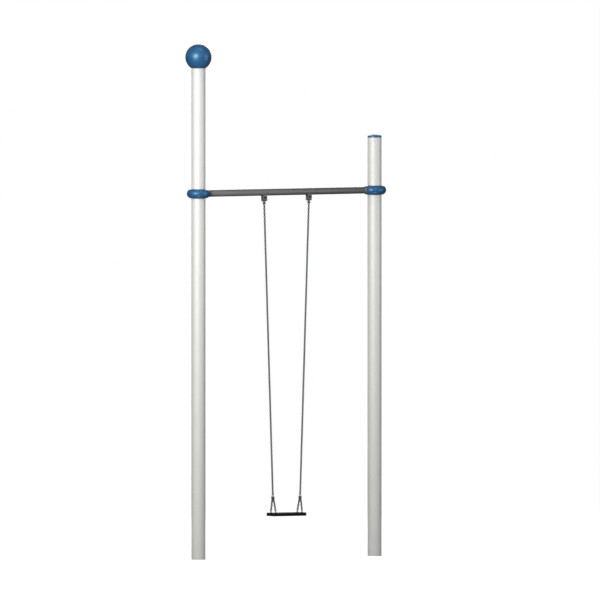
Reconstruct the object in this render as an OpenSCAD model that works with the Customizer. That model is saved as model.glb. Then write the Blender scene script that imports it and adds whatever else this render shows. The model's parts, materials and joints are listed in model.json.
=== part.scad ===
// Two-post playground swing with one seat, hung on chains from a crossbar.
// Millimetres. The origin is on the ground, midway between the posts. +X runs along the crossbar from the
// tall post to the short one, +Y is the back of the swing's arc and +Z is up.

/* [Frame] */
// Height of the crossbar's axis above the ground
bar_height = 3295; // [2400:5:4200]
// Distance between the two posts' axes
post_spacing = 1830; // [1300:10:2600]
// Rise of the tall post above the crossbar's axis
tall_rise = 1130; // [200:5:1500]
// Rise of the short post above the crossbar's axis
short_rise = 474; // [200:5:1000]
// Outside diameter of a post
post_d = 127; // [100:1:160]
// Wall of a post
post_wall = 3.2; // [2.5:0.1:6]
// Depth of the reamed socket in a post's foot
foot_bore_depth = 400; // [150:10:800]
// Radial cut of the reamed socket into the post's wall
foot_ream = 0.4; // [0.2:0.1:1]
// Height of the ring above the socket, which rests on the ground spigot
foot_stop_h = 6; // [4:1:12]

/* [Post tops] */
// Diameter of the ball on the tall post
ball_d = 236; // [170:1:300]
// Height of the straight lip under the dome on the short post
dome_lip = 15; // [4:1:40]
// Rise of the dome above its lip
dome_rise = 15; // [8:1:50]
// Wall of the hollow ball and dome
moulding_wall = 5; // [3:0.5:8]
// Depth of the plug that reaches into a post
plug_depth = 60; // [45:5:120]
// Radial clearance of the plug in the post
plug_clearance = 0.3; // [0.1:0.05:1]
// Diameter of the screws that hold a plug
plug_screw_d = 6; // [4:1:8]
// Distance of those screws below the post's rim
plug_screw_drop = 28; // [15:1:35]

/* [Collars] */
// Radius of a collar's half-round section
collar_bulge = 41.5; // [34:0.5:60]
// Gap between a collar's two halves
collar_split = 3; // [1:0.5:6]
// Diameter of the bolts through a collar
collar_bolt_d = 10; // [8:1:12]
// Height of a collar bolt above and below the crossbar's axis
collar_bolt_z = 16; // [12:1:18]
// Diameter of the pin that locks a collar to its post
lock_pin_d = 8; // [5:1:12]

/* [Crossbar] */
// Outside diameter of the crossbar
bar_d = 60.3; // [48:0.1:70]
// Wall of the crossbar
bar_wall = 4; // [2.5:0.1:6]
// Length of the tapered neck, measured from the post's surface
neck_len = 50.5; // [48:0.5:90]
// Length of the spigot inside the crossbar
spigot_len = 66; // [50:1:120]
// Radial clearance of the spigot in the crossbar
spigot_clearance = 0.1; // [0.05:0.05:0.5]
// Diameter of the screws in the necks
neck_screw_d = 8; // [6:1:10]

/* [Hangers] */
// Distance between the two hangers
hanger_spacing = 464; // [360:2:640]
// Drop of the pivot below the crossbar's underside
pivot_drop = 36; // [34:1:60]
// Gap between a bracket's two lugs
lug_gap = 24; // [22:1:36]
// Thickness of a lug
lug_t = 8; // [6:1:12]
// Width of the saddle across the crossbar
saddle_w = 44; // [36:1:50]
// Diameter of the pivot bolt
pivot_d = 12; // [10:1:14]
// Wall of the bush on the pivot bolt
bush_wall = 3; // [2:0.5:4]
// Radial running clearance of every pivot
running = 0.05; // [0.02:0.01:0.1]
// Distance from the pivot to the shackle's pin
yoke_len = 30; // [28:1:60]

/* [Chains] */
// Diameter of the chain's wire
wire = 6; // [5:0.5:7]
// Inside length of a link
link_len = 18.5; // [18:0.5:26]
// Inside width of a link
link_w = 8; // [7.5:0.5:11]
// Slack between two links
link_gap = 0.3; // [0.2:0.05:0.5]
// Number of links in each leg of the bridle, an odd number
leg_links = 7; // [5:2:11]

/* [Seat] */
// Length of the seat
seat_w = 343; // [300:1:520]
// Depth of the seat, front to back
seat_d = 137; // [125:1:220]
// Thickness of the seat
seat_t = 30; // [26:1:45]
// Height of the seat's top that the chains are cut for
seat_height = 407; // [380:1:560]
// Distance between the eye bolts along the seat
eye_spacing_x = 274; // [230:2:400]
// Distance between the eye bolts across the seat
eye_spacing_y = 84; // [76:2:110]
// Diameter of an eye bolt's shank
eye_bolt_d = 8; // [6:1:10]
// Thickness of the plate moulded into the seat
plate_t = 4; // [3:0.5:6]

/* [Hidden] */
$fn = 64;
BIG = 1000;

// Frame
post_r = post_d / 2;
post_in_r = post_r - post_wall;
post_x = post_spacing / 2;
tall_h = bar_height + tall_rise;
short_h = bar_height + short_rise;
foot_stop_reach = 8;

// Post tops
ball_r = ball_d / 2;
ball_centre = sqrt(pow(ball_r, 2) - pow(post_r, 2));
dome_r = (pow(post_r, 2) + pow(dome_rise, 2)) / (2 * dome_rise);
plug_r = post_in_r - plug_clearance;
screw_clear = 0.2;
// A button head's radius and height, for a screw of diameter 1
button_head = [0.9, 0.5];

// Collars, in the frame of a post at the crossbar's height with +x towards the crossbar
collar_bolt_y = post_r + collar_bulge / 2;
collar_seat = 30;
collar_nut_seat = 22;
collar_head_h = collar_bolt_d;
collar_head_d = 1.6 * collar_bolt_d;
lock_pin_len = post_wall + 0.75 * collar_bulge;

// Crossbar and necks
bar_r = bar_d / 2;
bar_end = post_r + neck_len;
spigot_r = bar_r - bar_wall - spigot_clearance;
spigot_bore = 18;
neck_screw_y = 16;
neck_screw_z = 12;
neck_head_depth = 10;
neck_screw_len = 44;
bar_screw_places = [21, 46];
bar_screw_reach = 12;

// Hangers, in the frame of the pivot
hanger_x = hanger_spacing / 2;
pivot_z = bar_height - bar_r - pivot_drop;
web_t = 8;
lug_r = pivot_d / 2 + 10;
lug_out = lug_gap / 2 + lug_t;
saddle_rise = bar_r - sqrt(pow(bar_r, 2) - pow(saddle_w / 2, 2)) - 1.5;
bush_r = pivot_d / 2 + running + bush_wall;
hub_r = bush_r + 5;
hub_len = lug_gap - 4;
washer_t = 1.6;
shackle_pin_d = 8;
yoke_eye_r = 9.5;
yoke_eye_w = 13;
shackle_z = pivot_z - yoke_len;

// Shackles: [half the distance between the legs, drop of the bow, wire, ear radius, ear thickness]
top_shackle = [12, 29.5, 7, 8, 8];
bridle_shackle = [16, 30, wire, 7, 7];
bridle_pin_d = wire;
pin_head_t = 4;

// Chains, measured down from the top shackle's pin
pitch = link_len - link_gap;
crown_to_crown = link_len + wire;
first_crown = top_shackle[1] - top_shackle[2] / 2 - wire / 2 - link_gap;
bow_over_crown = bridle_shackle[2] / 2 + wire / 2 + 2 * link_gap;
leg_start_y = 8;
leg_hook = bridle_pin_d / 2 + wire / 2 + 2 * link_gap;
eye_ring_r = 9;
eye_hook = wire + link_gap;
eye_rise = eye_ring_r + wire / 2 + 1;
leg_len = crown_to_crown + (leg_links - 1) * pitch - leg_hook - eye_hook + eye_ring_r;
eye_x = eye_spacing_x / 2;
eye_y = eye_spacing_y / 2;
leg_angle = asin((eye_y - leg_start_y) / leg_len);
bridle_drop = bridle_shackle[1] - bow_over_crown + leg_len * cos(leg_angle);
wanted_len = norm([shackle_z - seat_height - eye_rise, hanger_x - eye_x]);
link_pairs = round((wanted_len - first_crown - crown_to_crown - bridle_drop) / pitch / 2);
links = 2 * link_pairs + 1;
last_crown = first_crown + crown_to_crown + (links - 1) * pitch;
side_len = last_crown + bridle_drop;
chain_angle = asin((hanger_x - eye_x) / side_len);

// Seat, in the frame of its underside
eye_z = shackle_z - side_len * cos(chain_angle);
seat_z = eye_z - eye_rise - seat_t;
seat_corner = 10;
seat_edge = 5;
plate_z = 13;
plate_margin_x = 18;
plate_margin_y = 15;
plate_corner = 12;
sleeve_d = 14;
seat_washer_t = 1.6;
seat_nut_t = 6.5;
nut_recess_d = 22;
nut_cap_t = 3;
groove = [200, 3, 1.5];
groove_pitch = 11;

// Placing

// Children are drawn for the left side, which is -X, and mirrored for the right one.
module on_side(side) {
    if (side < 0) children();
    else mirror([1, 0, 0]) children();
}

// The crossbar's height on a post, with +x towards the crossbar.
module at_collar(side) {
    on_side(side) translate([-post_x, 0, bar_height]) children();
}

module at_pivot(side) {
    on_side(side) translate([-hanger_x, 0, pivot_z]) children();
}

// The line of one chain: the shackle's pin is at the origin and the chain runs down -z.
module along_chain(side) {
    on_side(side) translate([-hanger_x, 0, shackle_z]) rotate([0, -chain_angle, 0]) children();
}

// The bridle shackle's pin, on the line of one chain.
module at_bridle_pin(side) {
    along_chain(side) translate([0, 0, bow_over_crown - bridle_shackle[1] - last_crown]) children();
}

module at_eyes() {
    for (x = [-eye_x, eye_x], y = [-eye_y, eye_y]) translate([x, y, seat_z]) children();
}

// Shapes

module along_x(from, r, len, r2 = -1) {
    translate([from, 0, 0]) rotate([0, 90, 0]) cylinder(r1 = r, r2 = r2 < 0 ? r : r2, h = len);
}

module along_y(from, r, len) {
    translate([0, from, 0]) rotate([-90, 0, 0]) cylinder(r = r, h = len);
}

// A hexagon nut or head, across its flats, along x.
module hex_x(from, flats, len) {
    translate([from, 0, 0]) rotate([0, 90, 0]) cylinder(d = flats / cos(30), h = len, $fn = 6);
}

module half_torus(r, section_r) {
    rotate_extrude(angle = 180) translate([r, 0]) circle(r = section_r);
}

// One chain link in the x-z plane, centred.
module link() {
    bend = (link_w + wire) / 2;
    straight = link_len - link_w;
    for (turn = [0, 180]) rotate([0, turn, 0]) {
        translate([0, 0, straight / 2]) rotate([90, 0, 0]) half_torus(bend, wire / 2);
        translate([bend, 0, -straight / 2]) cylinder(d = wire, h = straight);
    }
}

// Links first to last of a chain whose top crown is at the origin; odd ones lie in the x-z plane.
module chain(first, last) {
    for (i = [first:last])
        translate([0, 0, -crown_to_crown / 2 - (i - 1) * pitch]) rotate([0, 0, i % 2 == 1 ? 0 : 90]) link();
}

// A bow shackle with its pin along y at the origin and its bow below.
module shackle(size, pin_d) {
    half = size[0];
    straight = size[1] - half;
    difference() {
        union() {
            translate([0, 0, -straight]) rotate([90, 0, 90]) rotate([0, 0, 180])
                half_torus(half, size[2] / 2);
            for (y = [-half, half]) {
                translate([0, y, -straight]) cylinder(d = size[2], h = straight);
                along_y(y - size[4] / 2, size[3], size[4]);
            }
        }
        along_y(-BIG / 2, (pin_d + screw_clear) / 2, BIG);
    }
}

module shackle_pin(size, pin_d) {
    ear = size[0] + size[4] / 2;
    along_y(-ear, pin_d / 2, 2 * ear + 1);
    along_y(-ear - pin_head_t, 0.8 * pin_d, pin_head_t);
}

// A rectangle with round corners, centred.
module round_rect(x, y, r) {
    square([x - 2 * r, y], center = true);
    square([x, y - 2 * r], center = true);
    for (i = [-1, 1], j = [-1, 1]) translate([i * (x / 2 - r), j * (y / 2 - r)]) circle(r = r);
}

// A slab with round corners and round edges, on z = 0.
module rounded_slab(size, corner, edge) {
    intersection() {
        linear_extrude(size[2]) round_rect(size[0], size[1], corner);
        translate([0, size[1] / 2, size[2] / 2]) rotate([90, 0, 0])
            linear_extrude(size[1]) round_rect(size[0], size[2], edge);
        translate([-size[0] / 2, 0, size[2] / 2]) rotate([90, 0, 90])
            linear_extrude(size[0]) round_rect(size[1], size[2], edge);
    }
}

// The three places of the screws round a post's top.
module around_plug() {
    for (turn = [60, 180, 300]) rotate([0, 0, turn]) translate([0, 0, -plug_screw_drop]) children();
}

// Posts and their tops

module post(side, height) {
    color("gainsboro") on_side(side) translate([-post_x, 0, 0]) difference() {
        cylinder(r = post_r, h = height);
        translate([0, 0, -1]) cylinder(r = post_in_r - foot_stop_reach, h = height);
        translate([0, 0, foot_bore_depth + foot_stop_h]) cylinder(r = post_in_r, h = height);
        translate([0, 0, -1]) cylinder(r = post_in_r + foot_ream, h = foot_bore_depth + 1);
        translate([0, 0, height]) around_plug() along_x(0, (plug_screw_d + screw_clear) / 2, BIG);
        translate([0, 0, bar_height]) along_x(-BIG, (lock_pin_d + screw_clear) / 2, BIG);
    }
}

module left_post() { post(-1, tall_h); }
module right_post() { post(1, short_h); }

// A hollow round top on the rim at z = 0, with a plug that reaches into the post.
module round_top(r, centre) {
    module above_rim(r) {
        intersection() {
            translate([0, 0, centre]) sphere(r = r);
            translate([-BIG, -BIG, 0]) cube(2 * BIG);
        }
    }
    color("steelblue") difference() {
        union() {
            above_rim(r);
            translate([0, 0, -plug_depth]) cylinder(r = plug_r, h = plug_depth);
        }
        above_rim(r - moulding_wall);
        translate([0, 0, -plug_depth - 1]) cylinder(r = plug_r - moulding_wall, h = plug_depth + 1.5);
        around_plug() along_x(0, plug_screw_d / 2, BIG);
    }
}

module at_top(side) {
    on_side(side) translate([-post_x, 0, side < 0 ? tall_h : short_h]) children();
}

module ball_finial() { at_top(-1) round_top(ball_r, ball_centre); }

module dome_cap() {
    module under_dome(r, reach, low) {
        intersection() {
            translate([0, 0, dome_lip + dome_rise - dome_r]) sphere(r = r);
            translate([0, 0, low]) cylinder(r = reach, h = BIG);
        }
    }
    color("steelblue") at_top(1) difference() {
        union() {
            under_dome(dome_r, post_r, 0);
            translate([0, 0, -plug_depth]) cylinder(r = plug_r, h = plug_depth);
        }
        under_dome(dome_r - moulding_wall, plug_r - moulding_wall, -plug_depth - 1);
        around_plug() along_x(0, plug_screw_d / 2, BIG);
    }
}

module plug_screws() {
    tip = plug_r - moulding_wall - 2;
    color("silver") around_plug() {
        along_x(tip, plug_screw_d / 2, post_r - tip);
        along_x(post_r, button_head[0] * plug_screw_d, button_head[1] * plug_screw_d);
    }
}

module finial_screws() { at_top(-1) plug_screws(); }
module cap_screws() { at_top(1) plug_screws(); }

// Collars

module collar_torus() {
    rotate_extrude() translate([post_r, 0]) circle(r = collar_bulge);
}

module at_collar_bolts() {
    for (y = [-1, 1], z = [-1, 1]) translate([0, y * collar_bolt_y, z * collar_bolt_z]) children();
}

module collar_ring() {
    difference() {
        collar_torus();
        cylinder(r = post_r, h = 3 * collar_bulge, center = true);
        at_collar_bolts() along_x(-BIG / 2, (collar_bolt_d + screw_clear) / 2, BIG);
    }
}

module collar_outer(side) {
    color("steelblue") at_collar(side) difference() {
        collar_ring();
        translate([-collar_split / 2, -BIG / 2, -BIG / 2]) cube(BIG);
        at_collar_bolts() along_x(-BIG, collar_head_d / 2 + 0.75, BIG - collar_seat);
        along_x(-BIG, (lock_pin_d + screw_clear) / 2, BIG);
    }
}

module at_neck_screws() {
    for (y = [-1, 1], z = [-1, 1]) translate([0, y * neck_screw_y, z * neck_screw_z]) children();
}

module collar_inner(side) {
    color("steelblue") at_collar(side) difference() {
        collar_ring();
        translate([collar_split / 2 - BIG, -BIG / 2, -BIG / 2]) cube(BIG);
        at_collar_bolts() along_x(collar_nut_seat, collar_bolt_d, BIG);
        at_neck_screws() {
            along_x(0, (neck_screw_d + screw_clear) / 2, BIG);
            along_x(0, neck_screw_d, post_r + neck_head_depth);
        }
    }
}

module left_collar_outer() { collar_outer(-1); }
module left_collar_inner() { collar_inner(-1); }
module right_collar_outer() { collar_outer(1); }
module right_collar_inner() { collar_inner(1); }

module collar_bolts() {
    color("silver") for (side = [-1, 1]) at_collar(side) at_collar_bolts() {
        along_x(-collar_seat, collar_bolt_d / 2, collar_seat + collar_nut_seat + collar_bolt_d);
        difference() {
            along_x(-collar_seat - collar_head_h, collar_head_d / 2, collar_head_h);
            hex_x(-collar_seat - collar_head_h - 1, 0.8 * collar_bolt_d, 6);
        }
    }
}

module collar_nuts() {
    color("silver") for (side = [-1, 1]) at_collar(side) at_collar_bolts() difference() {
        hex_x(collar_nut_seat, 1.6 * collar_bolt_d, 0.8 * collar_bolt_d);
        along_x(0, collar_bolt_d / 2, BIG);
    }
}

module collar_lock_pins() {
    color("silver") for (side = [-1, 1]) at_collar(side)
        along_x(-post_in_r - lock_pin_len, lock_pin_d / 2, lock_pin_len);
}

// Crossbar

// The tapered neck that bears on the collar and carries a spigot for the crossbar.
module bar_neck(side) {
    color("dimgray") at_collar(side) difference() {
        union() {
            along_x(post_r, collar_bulge, neck_len, bar_r);
            along_x(bar_end - 1, spigot_r, spigot_len + 1);
        }
        collar_torus();
        along_x(bar_end + 5, spigot_bore, BIG);
        at_neck_screws() along_x(0, neck_screw_d / 2, post_r + neck_head_depth + neck_screw_len);
        at_bar_screws() along_y(0, neck_screw_d / 2, BIG);
    }
}

module at_bar_screws() {
    for (x = bar_screw_places) translate([bar_end + x, 0, 0]) children();
}

module left_bar_neck() { bar_neck(-1); }
module right_bar_neck() { bar_neck(1); }

module neck_screws() {
    head = 0.7 * neck_screw_d;
    color("silver") for (side = [-1, 1]) at_collar(side) at_neck_screws() {
        along_x(post_r + neck_head_depth, neck_screw_d / 2, neck_screw_len);
        difference() {
            along_x(post_r + neck_head_depth - head, 0.8 * neck_screw_d, head);
            hex_x(post_r, 0.7 * neck_screw_d, neck_head_depth - 2);
        }
    }
}

module bar_screws() {
    color("silver") for (side = [-1, 1]) at_collar(side) at_bar_screws() {
        along_y(bar_r - bar_screw_reach, neck_screw_d / 2, bar_screw_reach);
        along_y(bar_r - 0.5, button_head[0] * neck_screw_d, button_head[1] * neck_screw_d);
    }
}

module crossbar() {
    len = 2 * (post_x - bar_end);
    color("dimgray") difference() {
        translate([0, 0, bar_height]) along_x(-len / 2, bar_r, len);
        translate([0, 0, bar_height]) along_x(-len, bar_r - bar_wall, 2 * len);
        for (side = [-1, 1]) at_collar(side) at_bar_screws() {
            along_y(0, (neck_screw_d + screw_clear) / 2, BIG);
            along_y(bar_r - 0.5, button_head[0] * neck_screw_d, BIG);
        }
    }
}

// Hangers

// The point where a line from p touches a circle of radius r round the origin, on p's right.
function touch(p, r) = let (a = atan2(p[1], p[0]) - acos(r / norm(p))) r * [cos(a), sin(a)];

module lug_outline() {
    top = [saddle_w / 2, pivot_drop - web_t];
    side = touch(top, lug_r);
    circle(r = lug_r);
    polygon([top, side, [-side[0], side[1]], [-top[0], top[1]]]);
}

module hanger_bracket(side) {
    color("dimgray") at_pivot(side) difference() {
        union() {
            translate([-lug_out, -saddle_w / 2, pivot_drop - web_t])
                cube([2 * lug_out, saddle_w, web_t + saddle_rise]);
            for (x = [-lug_out, lug_gap / 2])
                translate([x, 0, 0]) rotate([90, 0, 90]) linear_extrude(lug_t) lug_outline();
        }
        translate([0, 0, pivot_drop + bar_r]) along_x(-BIG / 2, bar_r, BIG);
        along_x(-BIG / 2, (pivot_d + screw_clear) / 2, BIG);
    }
}

module left_hanger_bracket() { hanger_bracket(-1); }
module right_hanger_bracket() { hanger_bracket(1); }

module pivot_bolts() {
    head = 0.6 * pivot_d;
    color("silver") for (side = [-1, 1]) at_pivot(side) {
        along_x(-lug_out, pivot_d / 2, 2 * lug_out + pivot_d);
        hex_x(-lug_out - head, 1.5 * pivot_d, head);
    }
}

module pivot_nuts() {
    color("silver") for (side = [-1, 1]) at_pivot(side) difference() {
        hex_x(lug_out, 1.5 * pivot_d, 0.85 * pivot_d);
        along_x(0, pivot_d / 2, BIG);
    }
}

// Thrust washers between each lug and the hub that swings.
module pivot_washers() {
    color("ivory") for (side = [-1, 1]) at_pivot(side) for (x = [-lug_gap / 2, lug_gap / 2 - washer_t])
        difference() {
            along_x(x, hub_r - 1, washer_t);
            along_x(-BIG / 2, pivot_d / 2, BIG);
        }
}

module pivot_bush(side) {
    color("ivory") at_pivot(side) difference() {
        along_x(-hub_len / 2, bush_r, hub_len);
        along_x(-BIG / 2, pivot_d / 2 + running, BIG);
    }
}

module left_pivot_bush() { pivot_bush(-1); }
module right_pivot_bush() { pivot_bush(1); }

module yoke(side) {
    color("dimgray") at_pivot(side) difference() {
        union() {
            along_x(-hub_len / 2, hub_r, hub_len);
            translate([0, 0, -yoke_len]) cylinder(r1 = 7, r2 = 9, h = yoke_len - bush_r - 1);
            translate([0, 0, -yoke_len]) along_y(-yoke_eye_w / 2, yoke_eye_r, yoke_eye_w);
        }
        along_x(-BIG / 2, bush_r, BIG);
        translate([0, 0, -yoke_len]) along_y(-BIG / 2, shackle_pin_d / 2 + running, BIG);
    }
}

module left_yoke() { yoke(-1); }
module right_yoke() { yoke(1); }

module left_shackle() { color("dimgray") along_chain(-1) shackle(top_shackle, shackle_pin_d); }
module right_shackle() { color("dimgray") along_chain(1) shackle(top_shackle, shackle_pin_d); }
module left_shackle_pin() { color("silver") along_chain(-1) shackle_pin(top_shackle, shackle_pin_d); }
module right_shackle_pin() { color("silver") along_chain(1) shackle_pin(top_shackle, shackle_pin_d); }

// Chains

module main_chain(side, first, last) {
    color("gray") along_chain(side) translate([0, 0, -first_crown]) chain(first, last);
}

module left_chain() { main_chain(-1, 1, links - 1); }
module right_chain() { main_chain(1, 1, links - 1); }
module left_end_link() { main_chain(-1, links, links); }
module right_end_link() { main_chain(1, links, links); }

module bridle_bow(side) {
    color("dimgray") at_bridle_pin(side) rotate([180, 0, 0]) shackle(bridle_shackle, bridle_pin_d);
}

module bridle_pin(side) {
    color("silver") at_bridle_pin(side) shackle_pin(bridle_shackle, bridle_pin_d);
}

module left_bridle_shackle() { bridle_bow(-1); }
module right_bridle_shackle() { bridle_bow(1); }
module left_bridle_pin() { bridle_pin(-1); }
module right_bridle_pin() { bridle_pin(1); }

// One leg of a bridle, from the pin out to the front (way -1) or the back (way 1) of the seat.
module bridle_leg(side, way) {
    color("gray") at_bridle_pin(side) translate([0, way * leg_start_y, 0])
        rotate([way * leg_angle, 0, 0]) translate([0, 0, leg_hook]) chain(1, leg_links);
}

module left_front_leg() { bridle_leg(-1, -1); }
module left_back_leg() { bridle_leg(-1, 1); }
module right_front_leg() { bridle_leg(1, -1); }
module right_back_leg() { bridle_leg(1, 1); }

// Seat

module seat_eye_bolts() {
    end = nut_cap_t + 1;
    color("silver") at_eyes() {
        translate([0, 0, seat_t + eye_rise]) rotate([90, 0, 90])
            rotate_extrude() translate([eye_ring_r, 0]) circle(d = wire);
        translate([0, 0, seat_t]) cylinder(d = sleeve_d, h = eye_rise - eye_ring_r);
        translate([0, 0, end]) cylinder(d = eye_bolt_d, h = seat_t - end);
    }
}

module seat_sleeves() {
    color("silver") at_eyes() difference() {
        translate([0, 0, plate_z + plate_t]) cylinder(d = sleeve_d, h = seat_t - plate_z - plate_t);
        cylinder(d = eye_bolt_d + screw_clear, h = BIG);
    }
}

module seat_washers() {
    color("silver") at_eyes() difference() {
        translate([0, 0, plate_z - seat_washer_t]) cylinder(d = nut_recess_d - 2, h = seat_washer_t);
        cylinder(d = eye_bolt_d + screw_clear, h = BIG);
    }
}

module seat_nuts() {
    flats = 1.6 * eye_bolt_d;
    color("silver") at_eyes() difference() {
        translate([0, 0, plate_z - seat_washer_t - seat_nut_t])
            cylinder(d = flats / cos(30), h = seat_nut_t, $fn = 6);
        cylinder(d = eye_bolt_d, h = BIG);
    }
}

module seat_nut_caps() {
    color("black") at_eyes() cylinder(d = nut_recess_d, h = nut_cap_t);
}

module plate_blank() {
    translate([0, 0, seat_z + plate_z]) linear_extrude(plate_t)
        round_rect(seat_w - 2 * plate_margin_x, seat_d - 2 * plate_margin_y, plate_corner);
}

module seat_body() {
    color("black") difference() {
        translate([0, 0, seat_z]) rounded_slab([seat_w, seat_d, seat_t], seat_corner, seat_edge);
        plate_blank();
        at_eyes() {
            translate([0, 0, plate_z]) cylinder(d = sleeve_d, h = BIG);
            translate([0, 0, -1]) cylinder(d = nut_recess_d, h = plate_z + 1);
        }
        for (i = [-3:3])
            translate([-groove[0] / 2, i * groove_pitch - groove[1] / 2, seat_z + seat_t - groove[2]])
                cube([groove[0], groove[1], 2 * groove[2]]);
    }
}

module seat_plate() {
    color("silver") difference() {
        plate_blank();
        at_eyes() cylinder(d = eye_bolt_d + screw_clear, h = BIG);
    }
}

left_post();
right_post();
ball_finial();
dome_cap();
finial_screws();
cap_screws();
left_collar_outer();
left_collar_inner();
right_collar_outer();
right_collar_inner();
collar_bolts();
collar_nuts();
collar_lock_pins();
left_bar_neck();
right_bar_neck();
neck_screws();
bar_screws();
crossbar();
left_hanger_bracket();
right_hanger_bracket();
pivot_bolts();
pivot_nuts();
pivot_washers();
left_pivot_bush();
right_pivot_bush();
left_yoke();
right_yoke();
left_shackle();
right_shackle();
left_shackle_pin();
right_shackle_pin();
left_chain();
right_chain();
left_end_link();
right_end_link();
left_bridle_shackle();
right_bridle_shackle();
left_bridle_pin();
right_bridle_pin();
left_front_leg();
left_back_leg();
right_front_leg();
right_back_leg();
seat_eye_bolts();
seat_sleeves();
seat_washers();
seat_nuts();
seat_nut_caps();
seat_body();
seat_plate();
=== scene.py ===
"""The looks of a two-post swing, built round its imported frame, laid out as a Blender add-on."""

import json
import math

import bmesh
import bpy
from bpy.props import FloatProperty, FloatVectorProperty, IntProperty, PointerProperty
from mathutils import Matrix, Vector

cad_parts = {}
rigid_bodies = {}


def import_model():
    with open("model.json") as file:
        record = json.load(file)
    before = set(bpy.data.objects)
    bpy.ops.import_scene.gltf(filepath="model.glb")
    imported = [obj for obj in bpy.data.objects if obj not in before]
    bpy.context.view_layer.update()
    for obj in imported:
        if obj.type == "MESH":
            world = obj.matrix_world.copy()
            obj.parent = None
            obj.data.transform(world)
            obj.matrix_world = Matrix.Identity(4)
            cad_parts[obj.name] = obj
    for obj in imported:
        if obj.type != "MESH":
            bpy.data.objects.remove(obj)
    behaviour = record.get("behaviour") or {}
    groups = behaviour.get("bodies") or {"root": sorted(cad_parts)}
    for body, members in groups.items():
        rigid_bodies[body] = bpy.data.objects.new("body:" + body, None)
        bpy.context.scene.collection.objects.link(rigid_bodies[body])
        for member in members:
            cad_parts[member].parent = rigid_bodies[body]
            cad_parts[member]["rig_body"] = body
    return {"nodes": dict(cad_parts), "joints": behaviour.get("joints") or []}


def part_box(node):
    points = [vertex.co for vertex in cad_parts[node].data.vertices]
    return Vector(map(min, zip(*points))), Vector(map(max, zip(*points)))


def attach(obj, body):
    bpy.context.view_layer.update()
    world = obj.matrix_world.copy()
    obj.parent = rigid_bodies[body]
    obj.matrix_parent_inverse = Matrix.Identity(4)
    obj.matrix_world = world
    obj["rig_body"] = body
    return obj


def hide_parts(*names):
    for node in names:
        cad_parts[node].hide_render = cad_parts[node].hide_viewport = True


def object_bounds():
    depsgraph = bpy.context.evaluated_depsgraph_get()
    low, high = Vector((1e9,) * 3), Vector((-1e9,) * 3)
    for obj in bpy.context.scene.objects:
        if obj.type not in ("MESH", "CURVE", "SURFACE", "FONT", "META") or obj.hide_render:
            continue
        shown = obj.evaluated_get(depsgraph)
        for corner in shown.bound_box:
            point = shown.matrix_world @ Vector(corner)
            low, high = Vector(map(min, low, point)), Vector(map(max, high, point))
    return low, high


bl_info = {
    "name": "Playground swing",
    "version": (1, 0, 0),
    "blender": (4, 5, 0),
    "location": "3D View > Sidebar > Swing",
    "description": "Builds the finished surfaces and pieces of a two-post swing round its frame",
    "category": "Object",
}

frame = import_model()
CAD_BOX = [list(corner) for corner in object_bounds()]
JOINTS = {joint["name"]: joint for joint in frame["joints"]}
MM = 0.001
SIDES = {"left": -1, "right": 1}
ALONG_X = Matrix.Rotation(math.pi / 2, 4, "Y")
DONE = {"FINISHED"}
SMOOTH_ANGLE, CASTING_ANGLE, SEAT_ANGLE = 35, 38, 32
MERGE = 2e-6


# Places worked out from the frame


def centre_and_radius(node):
    """The middle of a round upright node in plan, and its radius."""
    low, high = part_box(node)
    return Vector(((low.x + high.x) / 2, (low.y + high.y) / 2, 0)), (high.y - low.y) / 2


def middle_and_half(node):
    """The middle of a node's box, and half of its size."""
    low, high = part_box(node)
    return (low + high) / 2, (high - low) / 2


def box_middle(node):
    return middle_and_half(node)[0]


def joint_place(name):
    return Vector(JOINTS[name]["pos_m"])


# Settings


def colour(name, description, default):
    return FloatVectorProperty(
        name=name, description=description, default=default, size=3, min=0, max=1, subtype="COLOR"
    )


def length(name, description, default_mm):
    return FloatProperty(
        name=name, description=description, default=default_mm * MM, min=0, unit="LENGTH", precision=4
    )


def share(name, description, default):
    return FloatProperty(name=name, description=description, default=default, min=0, max=1)


def turn_setting(name, description, default):
    turn = math.radians(default)
    return FloatProperty(name=name, description=description, default=turn, subtype="ANGLE")


class SwingFinishes(bpy.types.PropertyGroup):
    """Colours and gloss of the finishes."""

    post: colour("Posts", "Off-white powder coat of the posts", (0.80, 0.80, 0.782))
    blue: colour("Blue", "Blue of the ball, the dome and the collars", (0.009, 0.098, 0.255))
    # painted shade: the deep blue painted on the blue parts where they turn from the eye
    blue_painted_shade: colour("Blue in shade", "Deep blue where the gloss parts turn away", (0.003, 0.016, 0.036))
    grey: colour("Crossbar", "Dark grey paint of the crossbar and the hangers", (0.21, 0.21, 0.21))
    chain: colour("Chain", "Weathered zinc of the chains", (0.02, 0.02, 0.0205))
    steel: colour("Steel", "Stainless screws, bolts and pins", (0.42, 0.42, 0.42))
    rubber: colour("Rubber", "Black rubber of the seat", (0.003, 0.003, 0.0032))
    post_roughness: share("Post roughness", "Roughness of the posts' coat", 0.58)
    blue_roughness: share("Blue roughness", "Roughness of the blue gloss", 0.36)
    blue_sheen: share("Blue sheen", "Strength of the broad sheen over the blue", 0.22)


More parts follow.
